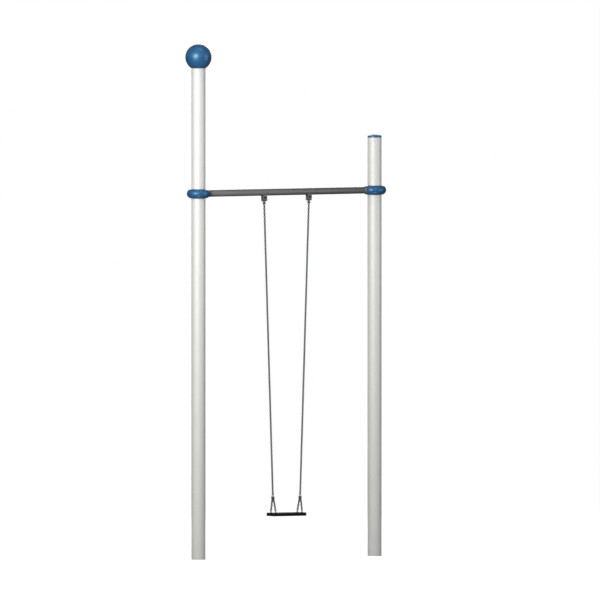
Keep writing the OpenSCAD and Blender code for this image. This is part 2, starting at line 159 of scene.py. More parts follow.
class SwingFrame(bpy.types.PropertyGroup):
    """Sizes of the posts, the crossbar and their screws."""

    post_wall: length("Post wall", "Wall of a post", 3.2)
    foot_ream: length("Foot ream", "Radial cut of the socket in a post's foot", 0.4)
    foot_depth: length("Foot socket", "Depth of the socket in a post's foot", 400)
    foot_stop: length("Foot stop", "Height of the ring above the socket in a post's foot", 6)
    foot_stop_reach: length("Foot stop reach", "Reach of that ring into the post", 8)
    rim_ease: length("Eased rim", "Radius worn off a tube's rims", 0.8)
    moulding_wall: length("Moulding wall", "Wall of the ball and the dome", 5)
    dome_lip: length("Dome lip", "Height of the straight lip under the dome", 15)
    plug_depth: length("Plug", "Depth of the plug that reaches into a post", 60)
    plug_clearance: length("Plug clearance", "Radial clearance of the plug", 0.3)
    mould_line: length("Mould line", "Width of the line moulded round the ball", 0.8)
    plug_screw: length("Plug screws", "Diameter of the screws under the ball and the dome", 6)
    bar_wall: length("Crossbar wall", "Wall of the crossbar", 4)
    bar_screw_reaches: FloatVectorProperty(
        name="Crossbar screws",
        description="Distances of the screws from the crossbar's end",
        default=(0.021, 0.046),
        size=2,
        unit="LENGTH",
    )
    neck_screw: length("Neck screws", "Diameter of the screws in the necks", 8)
    neck_screw_y: length("Neck screws across", "Distance of a neck screw from the bar's axis, across", 16)
    neck_screw_z: length("Neck screws up", "Distance of a neck screw from the bar's axis, up", 12)
    neck_head_depth: length("Neck screw seat", "Depth of the seat of a neck screw's head", 10)
    collar_bolt: length("Collar bolts", "Diameter of the bolts through a collar", 10)
    collar_bolt_z: length("Collar bolts up", "Height of a collar bolt from the bar's axis", 16)
    collar_seat: length("Collar bolt seat", "Distance of a collar bolt's seat from the split", 30)
    collar_nut_seat: length("Collar nut seat", "Distance of a collar nut's seat from the split", 22)
    pivot_bolt: length("Pivot bolts", "Diameter of the pivot bolts", 12)
    weld: length("Weld bead", "Width of a weld bead", 5)
    weld_ripples: IntProperty(name="Weld ripples", description="Ripples in a weld bead", default=18, min=4)


class SwingChain(bpy.types.PropertyGroup):
    """Sizes of the chain."""

    wire: length("Wire", "Diameter of the link's wire", 6)
    inside_length: length("Inside length", "Inside length of a link", 18.5)
    inside_width: length("Inside width", "Inside width of a link", 8)
    slack: length("Slack", "Slack between two links", 0.3)
    leg_start: length("Leg start", "Distance of a leg's first link from the pin's middle", 8)
    leg_links: IntProperty(name="Leg links", description="Links in each leg", default=7, min=1)
    sides: IntProperty(name="Sides", description="Sides of a link's wire", default=7, min=5, max=12)


class SwingSeat(bpy.types.PropertyGroup):
    """Sizes of the seat's moulding."""

    corner: length("Corner", "Radius of the seat's corners in plan", 10)
    edge: length("Edge", "Radius of the seat's rounded edges", 5)
    seam: length("Seam", "Depth of the line moulded round the rim", 0.9)
    groove_width: length("Groove width", "Width of a tread groove", 3)
    groove_depth: length("Groove depth", "Depth of a tread groove", 1.5)
    groove_length: length("Groove length", "Length of a tread groove", 200)
    groove_pitch: length("Groove pitch", "Distance between tread grooves", 11)
    groove_count: IntProperty(name="Grooves", description="Number of tread grooves", default=7, min=1)
    recess: length("Nut recess", "Diameter of the recess under each eye bolt", 22)
    recess_depth: length("Recess depth", "Depth of the recess under each eye bolt", 13)
    sleeve: length("Sleeve hole", "Diameter of the hole for an eye bolt's sleeve", 14)
    rim: length("Rim line", "Height of the line moulded round the rim", 4)


class SwingStudio(bpy.types.PropertyGroup):
    """The camera and the light."""

    azimuth: turn_setting("Azimuth", "Camera's turn round the swing", -30)
    elevation: turn_setting("Elevation", "Camera's height angle", 2.1)
    width: length("View width", "Width of the parallel view", 5400)
    aim_right: length("Aim to the right", "Aim beside the swing's middle", 121.5)
    aim_height: length("Aim height", "Height that the camera looks at", 2321)
    room_light: share("Room light", "Strength of the room's even light", 0.34)
    floor_glow: share("Floor glow", "Light that the camera alone sees on the floor", 0.9)


class SwingSettings(bpy.types.PropertyGroup):
    """All the settings of the swing."""

    finishes: PointerProperty(type=SwingFinishes)
    frame: PointerProperty(type=SwingFrame)
    chain: PointerProperty(type=SwingChain)
    seat: PointerProperty(type=SwingSeat)
    studio: PointerProperty(type=SwingStudio)


# Shader groups


def feed(tree, node, inputs):
    """Gives a node's inputs their values, or links them from the sockets given."""
    for key, value in inputs.items():
        if isinstance(value, bpy.types.NodeSocket):
            tree.links.new(value, node.inputs[key])
        else:
            node.inputs[key].default_value = value
    return node


def add_node(tree, kind, inputs=None, **settings):
    """A node with its properties set and its inputs given as values or as sockets to link from."""
    made = tree.nodes.new(kind)
    for key, value in settings.items():
        setattr(made, key, value)
    return feed(tree, made, inputs or {})


def add_socket(tree, name, way, kind):
    return tree.interface.new_socket(name=name, in_out=way, socket_type="NodeSocket" + kind)


def shader_group(name, inputs, outputs):
    """An empty shader group with a vector input, the named float inputs and the named float outputs."""
    tree = bpy.data.node_groups.new(name, "ShaderNodeTree")
    add_socket(tree, "Vector", "INPUT", "Vector")
    for socket_name, default in inputs.items():
        add_socket(tree, socket_name, "INPUT", "Float").default_value = default
    for socket_name in outputs:
        add_socket(tree, socket_name, "OUTPUT", "Float")
    return tree, tree.nodes.new("NodeGroupInput").outputs, tree.nodes.new("NodeGroupOutput")


def noise(tree, vector, size, detail=3.0, rough=0.5, distortion=0.0):
    """Noise whose features are about size across; size is a socket or a number of metres."""
    inputs = {"Vector": vector, "Scale": maths(tree, "DIVIDE", 1.0, size), "Detail": detail}
    inputs.update({"Roughness": rough, "Distortion": distortion})
    return add_node(tree, "ShaderNodeTexNoise", inputs).outputs[0]


def remap(tree, value, low, high, to_low=0.0, to_high=1.0, smooth=False):
    kind = "SMOOTHSTEP" if smooth else "LINEAR"
    inputs = {"Value": value, "From Min": low, "From Max": high, "To Min": to_low, "To Max": to_high}
    return add_node(tree, "ShaderNodeMapRange", inputs, interpolation_type=kind, clamp=True).outputs[0]


def maths(tree, operation, first, second=0.0):
    return add_node(tree, "ShaderNodeMath", {0: first, 1: second}, operation=operation).outputs[0]


def coat_group(name):
    """The skin of a sprayed or moulded coat: fine orange peel, slow drift of tone, patches of gloss."""
    tree, given, end = shader_group(name, {"Peel": 0.0012, "Patch": 0.25}, ("Height", "Tone", "Gloss"))
    vector, patch = given["Vector"], given["Patch"]
    fine = noise(tree, vector, given["Peel"], 2.0)
    slow = noise(tree, vector, patch, 4.0, 0.55)
    spots = noise(tree, vector, maths(tree, "MULTIPLY", patch, 0.22), 3.0, 0.6, 0.4)
    tone, gloss = remap(tree, slow, 0.3, 0.7), remap(tree, spots, 0.3, 0.7)
    feed(tree, end, {"Height": fine, "Tone": tone, "Gloss": gloss})
    return tree


def scuff_group(name):
    """Small chips and rubbed spots, and the fine streaks that dirt leaves as it runs down."""
    tree, given, end = shader_group(name, {"Size": 0.02, "Share": 0.5}, ("Scuff", "Streak"))
    vector = given["Vector"]
    rough = noise(tree, vector, given["Size"], 8.0, 0.68, 0.3)
    limit = maths(tree, "SUBTRACT", 0.78, maths(tree, "MULTIPLY", given["Share"], 0.14))
    scuff = remap(tree, maths(tree, "SUBTRACT", rough, limit), 0.0, 0.035, smooth=True)
    stretch = add_node(tree, "ShaderNodeMapping", {"Vector": vector, "Scale": (1.0, 1.0, 0.03)})
    lines = noise(tree, stretch.outputs[0], 0.006, 4.0, 0.6)
    feed(tree, end, {"Scuff": scuff, "Streak": remap(tree, lines, 0.52, 0.8, smooth=True)})
    return tree


def spangle_group(name):
    """The crystals of hot-dip zinc, as a tone for each crystal and a fine height."""
    tree, given, end = shader_group(name, {"Crystal": 0.004}, ("Tone", "Height"))
    vector, crystal = given["Vector"], given["Crystal"]
    inputs = {"Vector": vector, "Scale": maths(tree, "DIVIDE", 1.0, crystal), "Randomness": 1.0}
    cells = add_node(tree, "ShaderNodeTexVoronoi", inputs)
    tone = add_node(tree, "ShaderNodeSeparateColor", {"Color": cells.outputs["Color"]})
    grit = noise(tree, vector, maths(tree, "MULTIPLY", crystal, 0.18), 3.0)
    feed(tree, end, {"Tone": tone.outputs[0], "Height": grit})
    return tree


def brushed_group(name):
    """Fine turning and polishing marks round a screw or a pin."""
    tree, given, end = shader_group(name, {"Line": 0.0004}, ("Line", "Height"))
    stretch = add_node(tree, "ShaderNodeMapping", {"Vector": given["Vector"], "Scale": (1.0, 0.06, 0.06)})
    lines = noise(tree, stretch.outputs[0], given["Line"], 3.0, 0.6)
    feed(tree, end, {"Line": remap(tree, lines, 0.25, 0.75), "Height": lines})
    return tree


def grip_group(name):
    """The skin of moulded rubber: pebble grain, dust in the hollows and worn, paler patches."""
    tree, given, end = shader_group(name, {"Pebble": 0.0016, "Wear": 0.05}, ("Height", "Dust", "Wear"))
    vector, pebble = given["Vector"], given["Pebble"]
    inputs = {"Vector": vector, "Scale": maths(tree, "DIVIDE", 1.0, pebble), "Smoothness": 0.6}
    cells = add_node(tree, "ShaderNodeTexVoronoi", inputs, feature="SMOOTH_F1")
    height = maths(tree, "SUBTRACT", 1.0, cells.outputs["Distance"])
    dust = noise(tree, vector, maths(tree, "MULTIPLY", pebble, 6.0), 6.0, 0.7)
    dusty = remap(tree, dust, 0.5, 0.8, smooth=True)
    worn = remap(tree, noise(tree, vector, given["Wear"], 5.0, 0.6), 0.45, 0.75, smooth=True)
    feed(tree, end, {"Height": height, "Dust": dusty, "Wear": worn})
    return tree


GROUPS = {
    "coat": ("Coat skin", coat_group),
    "scuff": ("Scuffs and streaks", scuff_group),
    "spangle": ("Zinc spangle", spangle_group),
    "brushed": ("Brushed lines", brushed_group),
    "grip": ("Rubber skin", grip_group),
}


# Materials


class Finish:
    """A material under construction: a Principled shader, with helpers to mix colours and masks."""

    def __init__(self, name, base, roughness, metallic=0.0):
        self.material = bpy.data.materials.new(name)
        self.material.use_nodes = True
        self.tree = self.material.node_tree
        self.shader = self.tree.nodes["Principled BSDF"]
        self.give({"Metallic": metallic, "Coat Roughness": 0.06})
        self.vector = self.tree.nodes.new("ShaderNodeTexCoord").outputs["Object"]
        self.colour = add_node(self.tree, "ShaderNodeRGB").outputs[0]
        self.colour.default_value = (*base, 1)
        self.roughness = roughness

    def give(self, inputs):
        feed(self.tree, self.shader, inputs)

    def group(self, key, **values):
        name, build = GROUPS[key]
        made = self.tree.nodes.new("ShaderNodeGroup")
        made.node_tree = bpy.data.node_groups.get(name) or build(name)
        return feed(self.tree, made, {"Vector": self.vector, **values}).outputs

    def blend(self, mask, tint, amount=1.0):
        """Mixes a tint over the colour where the mask is high."""
        inputs = {0: maths(self.tree, "MULTIPLY", mask, amount), 6: self.colour, 7: (*tint, 1)}
        self.colour = add_node(self.tree, "ShaderNodeMix", inputs, data_type="RGBA").outputs[2]

    def vary_roughness(self, mask, change):
        offset = maths(self.tree, "MULTIPLY", maths(self.tree, "SUBTRACT", mask, 0.5), change)
        self.roughness = maths(self.tree, "ADD", self.roughness, offset)

    def paint_edge_shade(self, blend, tint, amount, specular):
        """Paints shade on the edges: darkens the colour and takes the reflection away where the surface
        turns from the eye.
        """
        turn = add_node(self.tree, "ShaderNodeLayerWeight", {"Blend": blend}).outputs["Facing"]
        # painted shade: the tint darkens the colour towards the edges
        self.blend(turn, tint, amount)
        level = remap(self.tree, turn, 0.15, 0.85, 1.0, 0.02)
        self.give({"Specular IOR Level": maths(self.tree, "MULTIPLY", level, specular)})
        return level

    def done(self, gloss=None, change=0.0, height=None, depth=0.0):
        """Ends the material, its roughness varied by the gloss and its surface raised by the height."""
        if gloss:
            self.vary_roughness(gloss, change)
        if height:
            inputs = {"Height": height, "Distance": depth, "Strength": 1.0}
            self.give({"Normal": add_node(self.tree, "ShaderNodeBump", inputs).outputs[0]})
        self.give({"Base Color": self.colour, "Roughness": self.roughness})
        return self.material


def shade(tint, share):
    return tuple(channel * share for channel in tint)


def post_finish(look):
    """Off-white powder coat, a little dulled by rain streaks, with painted shade on its edges."""
    finish = Finish("Post powder coat", look.post, look.post_roughness, metallic=0.2)
    # painted shade: the posts' edges darkened where they turn from the eye
    finish.paint_edge_shade(0.7, shade(look.post, 0.55), 0.6, 0.5)
    skin = finish.group("coat", Peel=0.0016, Patch=0.35)
    marks = finish.group("scuff", Size=0.03, Share=0.25)
    finish.blend(skin["Tone"], shade(look.post, 0.93), 0.6)
    finish.blend(marks["Streak"], (0.62, 0.61, 0.57), 0.12)
    finish.blend(marks["Scuff"], (0.45, 0.45, 0.44), 0.25)
    return finish.done(skin["Gloss"], 0.1, skin["Height"], 0.00004)


def blue_finish(look, name, peel, depth):
    """Deep glossy blue, with painted shade that darkens it towards the rims where it turns from the eye."""
    finish = Finish(name, look.blue, look.blue_roughness)
    skin = finish.group("coat", Peel=peel, Patch=0.06)
    marks = finish.group("scuff", Size=0.012, Share=0.3)
    # painted shade: deep blue painted over the rims, and the reflection taken away there
    facing = finish.paint_edge_shade(0.5, look.blue_painted_shade, 0.95, 1.0)
    # the coat is a second, broader sheen that gives the highlight its soft rim; it fades towards the rims
    # with the painted edge shade
    finish.give({
        "Specular Tint": (0.45, 0.8, 1.0, 1),
        "Coat Roughness": 0.48,
        "Coat IOR": 1.9,
        "Coat Tint": (0.8, 0.93, 1.0, 1),
        "Coat Weight": maths(finish.tree, "MULTIPLY", facing, look.blue_sheen),
    })
    finish.blend(skin["Tone"], shade(look.blue, 1.3), 0.25)
    finish.blend(marks["Scuff"], (0.12, 0.22, 0.33), 0.2)
    return finish.done(skin["Gloss"], 0.05, skin["Height"], depth)


def grey_finish(name, tint, peel, depth):
    """Dark grey paint over steel, with small chips, a slow drift of tone and painted shade on its edges."""
    finish = Finish(name, tint, 0.38)
    skin = finish.group("coat", Peel=peel, Patch=0.12)
    marks = finish.group("scuff", Size=0.014, Share=0.5)
    # painted shade: the edges darkened almost to black where they turn from the eye
    finish.paint_edge_shade(0.78, shade(tint, 0.12), 0.95, 0.5)
    finish.blend(skin["Tone"], shade(tint, 0.75), 0.5)
    finish.blend(marks["Scuff"], (0.24, 0.235, 0.23), 0.3)
    return finish.done(skin["Gloss"], 0.16, skin["Height"], depth)


def zinc_finish(look):
    """Weathered hot-dip zinc."""
    finish = Finish("Weathered zinc", look.chain, 0.5, metallic=0.3)
    finish.give({"Specular IOR Level": 0.2})
    cells = finish.group("spangle", Crystal=0.0035)
    marks = finish.group("scuff", Size=0.006, Share=0.7)
    finish.blend(cells["Tone"], shade(look.chain, 2.2), 0.5)
    finish.blend(marks["Scuff"], shade(look.chain, 0.5), 0.6)
    return finish.done(cells["Tone"], 0.24, cells["Height"], 0.00012)


def steel_finish(look):
    """Satin stainless steel with fine turning marks."""
    finish = Finish("Satin stainless", look.steel, 0.3, metallic=0.95)
    lines = finish.group("brushed", Line=0.0005)
    marks = finish.group("scuff", Size=0.008, Share=0.5)
    finish.blend(lines["Line"], shade(look.steel, 0.7), 0.5)
    finish.blend(marks["Scuff"], (0.2, 0.19, 0.18), 0.4)
    return finish.done(lines["Line"], 0.2, lines["Height"], 0.00003)


def nylon_finish():
    """Natural nylon of the bushes, yellowed and greased."""
    finish = Finish("Natural nylon", (0.72, 0.69, 0.58), 0.48)
    skin = finish.group("coat", Peel=0.0006, Patch=0.008)
    finish.blend(skin["Tone"], (0.55, 0.5, 0.38), 0.5)
    finish.blend(skin["Gloss"], (0.3, 0.27, 0.2), 0.2)
    return finish.done(skin["Gloss"], 0.25, skin["Height"], 0.00003)


def rubber_finish(look, name, pebble):
    """Moulded black rubber with a pebbled skin, dust in its hollows and paler, worn patches."""
    finish = Finish(name, look.rubber, 0.55)
    finish.give({"Specular IOR Level": 0.12})
    skin = finish.group("grip", Pebble=pebble, Wear=0.06)
    finish.blend(skin["Wear"], (0.009, 0.009, 0.0095), 0.6)
    finish.blend(skin["Dust"], (0.03, 0.029, 0.027), 0.15)
    return finish.done(skin["Wear"], -0.16, skin["Height"], 0.00012)


def plate_finish():
    """Mill-finished aluminium of the plate inside the seat."""
    finish = Finish("Mill aluminium", (0.68, 0.68, 0.7), 0.34, metallic=0.9)
    lines = finish.group("brushed", Line=0.0008)
    finish.blend(lines["Line"], (0.5, 0.5, 0.52), 0.5)
    return finish.done(lines["Line"], 0.18, lines["Height"], 0.00004)


def build_finishes(look):
    """One material for each of the record's material slots, and for the welds."""
    return {
        "post_finish": post_finish(look),
        "blue_moulding": blue_finish(look, "Blue moulding", 0.009, 0.000005),
        "blue_casting": blue_finish(look, "Blue powder coat", 0.002, 0.000012),
        "grey_tube": grey_finish("Grey tube paint", look.grey, 0.0016, 0.00005),
        "grey_casting": grey_finish("Grey casting paint", shade(look.grey, 0.95), 0.0028, 0.00016),
        "galvanised": zinc_finish(look),
        "stainless": steel_finish(look),
        "bush_plastic": nylon_finish(),
        "black_plastic": rubber_finish(look, "Black plug", 0.0009),
        "black_rubber": rubber_finish(look, "Seat rubber", 0.0018),
        "seat_plate": plate_finish(),
        "weld": grey_finish("Painted weld", shade(look.grey, 0.85), 0.0012, 0.0002),
    }


MATERIALS = {}


# Mesh helpers


def linked(name, data):
    """An object of the data, linked to the scene."""
    made = bpy.data.objects.new(name, data)
    bpy.context.scene.collection.objects.link(made)
    return made


def finish_mesh(name, mesh, slot, angle=SMOOTH_ANGLE):
    """Links a mesh as an object with its finish, smooth up to an angle."""
    mesh.name = name
    piece = linked(name, mesh)
    mesh.materials.clear()
    mesh.materials.append(MATERIALS[slot])
    mesh.shade_smooth()
    mesh.set_sharp_from_angle(angle=math.radians(angle))
    return piece


def seat_mesh(name, mesh, body, slot, *nodes, angle=SMOOTH_ANGLE):
    """Makes a mesh a finished piece on its body."""
    return seat_piece(finish_mesh(name, mesh, slot, angle), body, slot, *nodes)


def seat_piece(piece, body, slot, *nodes):
    """Lets a finished piece ride on its body, in place of its CAD nodes."""
    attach(piece, body)
    if nodes:
        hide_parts(*nodes)
    return piece


def arc(centre, radius, start, stop, steps):
    """Points (r, z) on an arc, angles in degrees from +r towards +z."""
    angles = [math.radians(start + (stop - start) * i / steps) for i in range(steps + 1)]
    return [(centre[0] + radius * math.cos(a), centre[1] + radius * math.sin(a)) for a in angles]


def turned(profile, segments=96):
    """A closed outline turned round z. A point is (r, z), or (r, z, slope) on a hexagon with flats at r."""
    shape = bmesh.new()
    rings = []
    for r, z, *slope in profile:
        ring = []
        for i in range(segments):
            turn = 2 * math.pi * i / segments
            reach = r / math.cos((turn + math.pi / 6) % (math.pi / 3) - math.pi / 6) if slope else r
            rise = z - slope[0] * (reach - r) if slope else z
            ring.append(shape.verts.new((reach * math.cos(turn), reach * math.sin(turn), rise)))
        rings.append(ring)
    for low, high in zip(rings, rings[1:] + rings[:1]):
        for i in range(segments):
            j = (i + 1) % segments
            shape.faces.new((low[i], low[j], high[j], high[i]))
    bmesh.ops.remove_doubles(shape, verts=shape.verts, dist=1e-6)
    bmesh.ops.recalc_face_normals(shape, faces=shape.faces)
    return shape


def to_mesh(shape, matrix=None):
    mesh = bpy.data.meshes.new("shape")
    if matrix is not None:
        shape.transform(matrix)
    shape.to_mesh(mesh)
    shape.free()
    return mesh


def tube_profile(outer, inner, low, high, ease):
    """The outline of a tube's wall with eased edges."""
    outline = [(inner + ease, low), (outer - ease, low), (outer - ease * 0.3, low + ease * 0.3)]
    outline += [(outer, low + ease), (outer, high - ease), (outer - ease * 0.3, high - ease * 0.3)]
    return outline + [(outer - ease, high), (inner + ease, high), (inner, high - ease), (inner, low + ease)]


# Geometry Nodes helpers


def geometry_tree(name, **inputs):
    """A Geometry Nodes tree that takes geometry, the named inputs and a material, and gives geometry."""
    tree = bpy.data.node_groups.new(name, "GeometryNodeTree")
    for socket_name, kind in {"Geometry": "Geometry", **inputs, "Material": "Material"}.items():
        add_socket(tree, socket_name, "INPUT", kind)
    add_socket(tree, "Geometry", "OUTPUT", "Geometry")
    return tree, tree.nodes.new("NodeGroupInput").outputs


def end_tree(tree, geometry, material):
    """Realises the instances, sets the material and smooths the faces."""
    real = add_node(tree, "GeometryNodeRealizeInstances", {"Geometry": geometry})
    smooth = add_node(tree, "GeometryNodeSetShadeSmooth", {"Geometry": real.outputs[0]})
    inputs = {"Geometry": smooth.outputs[0], "Material": material}
    painted = add_node(tree, "GeometryNodeSetMaterial", inputs)
    feed(tree, tree.nodes.new("NodeGroupOutput"), {0: painted.outputs[0]})
    return tree


def grow(tree, name, slot, base=None, **values):
    """Runs a tree on a base mesh, or on nothing, and makes the result an object with a plain mesh."""
    seed = linked("seed", base or bpy.data.meshes.new("seed"))
    modifier = seed.modifiers.new("grow", "NODES")
    modifier.node_group = tree
    values["Material"] = MATERIALS[slot]
    for item in tree.interface.items_tree:
        if item.item_type == "SOCKET" and item.in_out == "INPUT" and item.name in values:
            modifier[item.identifier] = values[item.name]
    seed.update_tag()
    graph = bpy.context.evaluated_depsgraph_get()
    mesh = bpy.data.meshes.new_from_object(seed.evaluated_get(graph))
    bpy.data.objects.remove(seed)
    return finish_mesh(name, mesh, slot)


def copies_at(tree, points, instance, inputs):
    """Copies of the instance at the points."""
    inputs = {"Points": points, "Instance": instance, **inputs}
    return add_node(tree, "GeometryNodeInstanceOnPoints", inputs).outputs[0]


# the wire's polygon reaches this share of its diameter, which keeps about the round wire's area
WIRE_REACH = 0.53
# just under half the width, so that the two rounded ends of a link don't meet
END_ROUND = 0.4999


def chain_tree():
    """A straight chain: links on a line, every other one turned a quarter, then moved into place."""
    inputs = {"Links": "Int", "Pitch": "Float", "Wire": "Float", "Length": "Float", "Width": "Float"}
    tree, given = geometry_tree("Chain of links", **inputs, Sides="Int", Turn="Rotation", Place="Vector")
    width = maths(tree, "ADD", given["Width"], given["Wire"])
    height = maths(tree, "ADD", given["Length"], given["Wire"])
    inputs = {"Width": width, "Height": height}
    loop = add_node(tree, "GeometryNodeCurvePrimitiveQuadrilateral", inputs).outputs[0]
    inputs = {"Curve": loop, "Radius": maths(tree, "MULTIPLY", width, END_ROUND)}
    round_loop = add_node(tree, "GeometryNodeFilletCurve", inputs)
    set_option(round_loop, "Mode", "POLY", "Poly")
    round_loop.inputs["Count"].default_value = 3
    inputs = {"Resolution": given["Sides"], "Radius": maths(tree, "MULTIPLY", given["Wire"], WIRE_REACH)}
    section = add_node(tree, "GeometryNodeCurvePrimitiveCircle", inputs).outputs[0]
    inputs = {"Curve": round_loop.outputs[0], "Profile Curve": section}
    link = add_node(tree, "GeometryNodeCurveToMesh", inputs).outputs[0]
    inputs = {"Geometry": link, "Rotation": (math.pi / 2, 0, 0)}
    upright = add_node(tree, "GeometryNodeTransform", inputs).outputs[0]
    step = add_node(tree, "ShaderNodeCombineXYZ", {"Z": maths(tree, "MULTIPLY", given["Pitch"], -1.0)})
    inputs = {"Count": given["Links"], "Offset": step.outputs[0]}
    line = add_node(tree, "GeometryNodeMeshLine", inputs, mode="OFFSET").outputs[0]
    odd = maths(tree, "MODULO", tree.nodes.new("GeometryNodeInputIndex").outputs[0], 2.0)
    quarter = add_node(tree, "ShaderNodeCombineXYZ", {"Z": maths(tree, "MULTIPLY", odd, math.pi / 2)})
    row = copies_at(tree, line, upright, {"Rotation": quarter.outputs[0]})
    inputs = {"Geometry": row, "Rotation": given["Turn"], "Translation": given["Place"]}
    placed = add_node(tree, "GeometryNodeTransform", inputs).outputs[0]
    return end_tree(tree, placed, given["Material"])


def set_option(made, name, old_value, new_value):
    """Sets a node's choice, whether it is a property or a menu socket."""
    if hasattr(made, name.lower()):
        setattr(made, name.lower(), old_value)
    else:
        made.inputs[name].default_value = new_value


def fastener_tree():
    """Copies of one fastener at the base mesh's points, each with its head turned along the point's aim."""
    tree, given = geometry_tree("Fasteners at points", Fastener="Object")
    shape = add_node(tree, "GeometryNodeObjectInfo", {"Object": given["Fastener"]})
    aim = add_node(tree, "GeometryNodeInputNamedAttribute", {"Name": "aim"}, data_type="FLOAT_VECTOR")
    turn = add_node(tree, "FunctionNodeAlignRotationToVector", {"Vector": aim.outputs[0]}, axis="Z")
    points = add_node(tree, "GeometryNodeMeshToPoints", {"Mesh": given["Geometry"]})
    inputs = {"Rotation": turn.outputs[0]}
    copies = copies_at(tree, points.outputs[0], shape.outputs["Geometry"], inputs)
    return end_tree(tree, copies, given["Material"])


def bead_tree():
    """A weld bead: overlapping ripples along a line, each a little different."""
    inputs = {"Start": "Vector", "End": "Vector", "Radius": "Float", "Ripples": "Int", "Seed": "Int"}
    tree, given = geometry_tree("Weld bead", **inputs)
    inputs = {"Count": given["Ripples"], "Start Location": given["Start"], "Offset": given["End"]}
    line = add_node(tree, "GeometryNodeMeshLine", inputs, mode="END_POINTS").outputs[0]
    inputs = {"Segments": 12, "Rings": 7, "Radius": given["Radius"]}
    ripple = add_node(tree, "GeometryNodeMeshUVSphere", inputs).outputs[0]
    inputs = {"Seed": given["Seed"], 0: (0.7, 0.85, 0.85), 1: (0.95, 1.1, 1.1)}
    size = add_node(tree, "FunctionNodeRandomValue", inputs, data_type="FLOAT_VECTOR").outputs[0]
    return end_tree(tree, copies_at(tree, line, ripple, {"Scale": size}), given["Material"])


def settings(context):
    return context.scene.swing


# Posts and their tops


class SWING_OT_finishes(bpy.types.Operator):
    """Makes the shader groups and one material for each finish"""

    bl_idname = "swing.finishes"
    bl_label = "Finishes"

    def execute(self, context):
        MATERIALS.update(build_finishes(settings(context).finishes))
        for name, slot in CARRIED_OVER.items():
            node = frame["nodes"][name]
            for held in node.material_slots:
                held.material = MATERIALS[slot]
        return DONE


CARRIED_OVER = {
    "seat_plate": "seat_plate",
    "seat_sleeves": "stainless",
    "seat_washers": "stainless",
    "seat_nuts": "stainless",
    "left_pivot_bush": "bush_plastic",
    "right_pivot_bush": "bush_plastic",
    "pivot_washers": "bush_plastic",
    "collar_lock_pins": "stainless",
}


class SWING_OT_posts(bpy.types.Operator):
    """Turns the two posts, with eased rims and the reamed socket in each foot"""

    bl_idname = "swing.posts"
    bl_label = "Posts"

    def execute(self, context):
        sizes = settings(context).frame
        for side in SIDES:
            node = side + "_post"
            low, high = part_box(node)
            middle, radius = centre_and_radius(node)
            inner, ream, ease = radius - sizes.post_wall, sizes.foot_ream, sizes.rim_ease
            profile = tube_profile(radius, inner, low.z, high.z, ease)
            stop, bore = low.z + sizes.foot_depth, inner - sizes.foot_stop_reach
            over = stop + sizes.foot_stop
            profile[-1:] = [(inner, over), (bore, over), (bore, stop)]
            profile += [(inner + ream, stop), (inner + ream, low.z + ease)]
            profile[0] = (inner + ream + ease, low.z)
            mesh = to_mesh(turned(profile, 128), Matrix.Translation(middle))
            seat_mesh(side + "_post_tube", mesh, "frame", "post_finish", node)
        return DONE


def round_top_profile(top, rim_r, plug_r, lip, sizes):
    """The outline of a hollow round top on the rim at z = 0: a ball with a mould line, or a cap on a lip."""
    rise = top - lip
    radius = (rim_r**2 + rise**2) / (2 * rise)
    middle = top - radius
    start = math.degrees(math.asin((lip - middle) / radius))
    wall, ease = sizes.moulding_wall, sizes.rim_ease * 2
    if lip:
        outer = [(rim_r, lip - ease)] + arc((0, middle), radius, start + math.degrees(ease / radius), 90, 40)
    else:
        ridge = sizes.mould_line
        half = math.degrees(ridge / radius)
        outer = arc((0, middle), radius, start, -2 * half, 40)
        outer += arc((0, middle), radius + ridge * 0.5, -half, half, 2)
        outer += arc((0, middle), radius, 2 * half, 90, 40)
    bore = plug_r - wall
    inner_start = math.copysign(math.degrees(math.acos(bore / (radius - wall))), -middle)
    inner = arc((0, middle), radius - wall, 90, inner_start, 32)
    foot = -sizes.plug_depth
    plug = [(bore, wall * 0.2), (bore, foot), (plug_r - ease, foot), (plug_r, foot + ease)]
    plug += [(plug_r, 0), (rim_r, 0)]
    return plug + outer + inner


class SWING_OT_post_tops(bpy.types.Operator):
    """Turns the hollow ball and the dome that close the posts"""

    bl_idname = "swing.post_tops"
    bl_label = "Ball and dome"

    def execute(self, context):
        sizes = settings(context).frame
        for side, node in (("left", "ball_finial"), ("right", "dome_cap")):
            middle, rim_r = centre_and_radius(side + "_post")
            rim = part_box(side + "_post")[1].z
            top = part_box(node)[1].z - rim
            plug_r = rim_r - sizes.post_wall - sizes.plug_clearance
            lip = sizes.dome_lip if node == "dome_cap" else 0
            profile = round_top_profile(top, rim_r, plug_r, lip, sizes)
            middle.z = rim
            mesh = to_mesh(turned(profile, 128), Matrix.Translation(middle))
            seat_mesh(node + "_shell", mesh, "frame", "blue_moulding", node)
        return DONE


# Castings, taken from the frame with their facets smoothed


def smoothed(name, slot, node):
    """A smooth-shaded copy of a node, on the node's body."""
    shape = bmesh.new()
    shape.from_mesh(frame["nodes"][node].data)
    bmesh.ops.remove_doubles(shape, verts=shape.verts, dist=MERGE)
    body = frame["nodes"][node]["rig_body"]
    return seat_mesh(name, to_mesh(shape), body, slot, node, angle=CASTING_ANGLE)


class SWING_OT_collars(bpy.types.Operator):
    """Smooths the four collar halves"""

    bl_idname = "swing.collars"
    bl_label = "Collars"

    def execute(self, context):
        for side in SIDES:
            for half in ("outer", "inner"):
                node = f"{side}_collar_{half}"
                smoothed(node + "_casting", "blue_casting", node)
        return DONE


